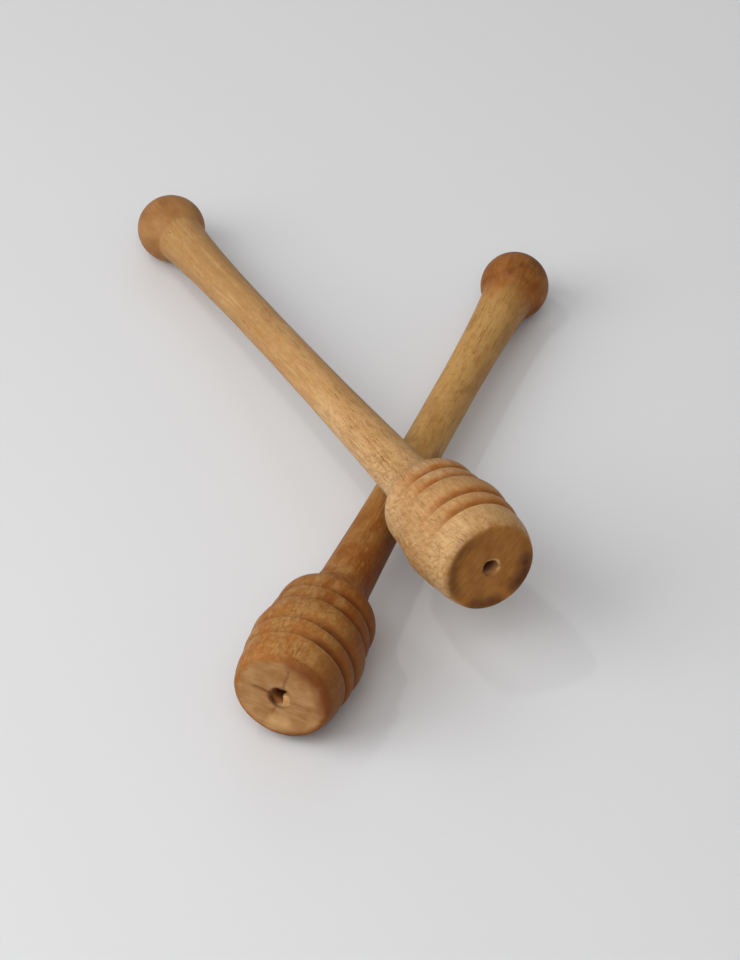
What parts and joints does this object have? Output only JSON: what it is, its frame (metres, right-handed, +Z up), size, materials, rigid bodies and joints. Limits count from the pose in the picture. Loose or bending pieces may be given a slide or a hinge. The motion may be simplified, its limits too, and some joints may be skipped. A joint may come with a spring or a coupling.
{
  "type": "pair of claves",
  "caption": "Turned wooden claves with ball ends, waisted handles and grooved barrel heads, lying crossed with one resting on the other, struck together as rhythm sticks.",
  "frame": {"origin": "middle of the pair's bounding box in plan, on the surface that it lies on", "axes": "+Z up from the surface; -Y runs forward towards the two heads, midway between the sticks; +X to the right, where the upper stick's head lies"},
  "size_m": [0.1176, 0.2209, 0.047],
  "materials": {
    "dark_beech": "oiled satin, end grain paler",
    "light_beech": "oiled satin, end grain darker"
  },
  "bodies": {
    "lower": {"lower_stick": "dark_beech"},
    "upper": {"upper_stick": "light_beech"}
  },
  "joints": [
    {"name": "lift", "type": "slide", "parent": "lower", "child": "upper", "axis": [0, 0, 1], "range_m": [0, 0.12]}
  ]
}
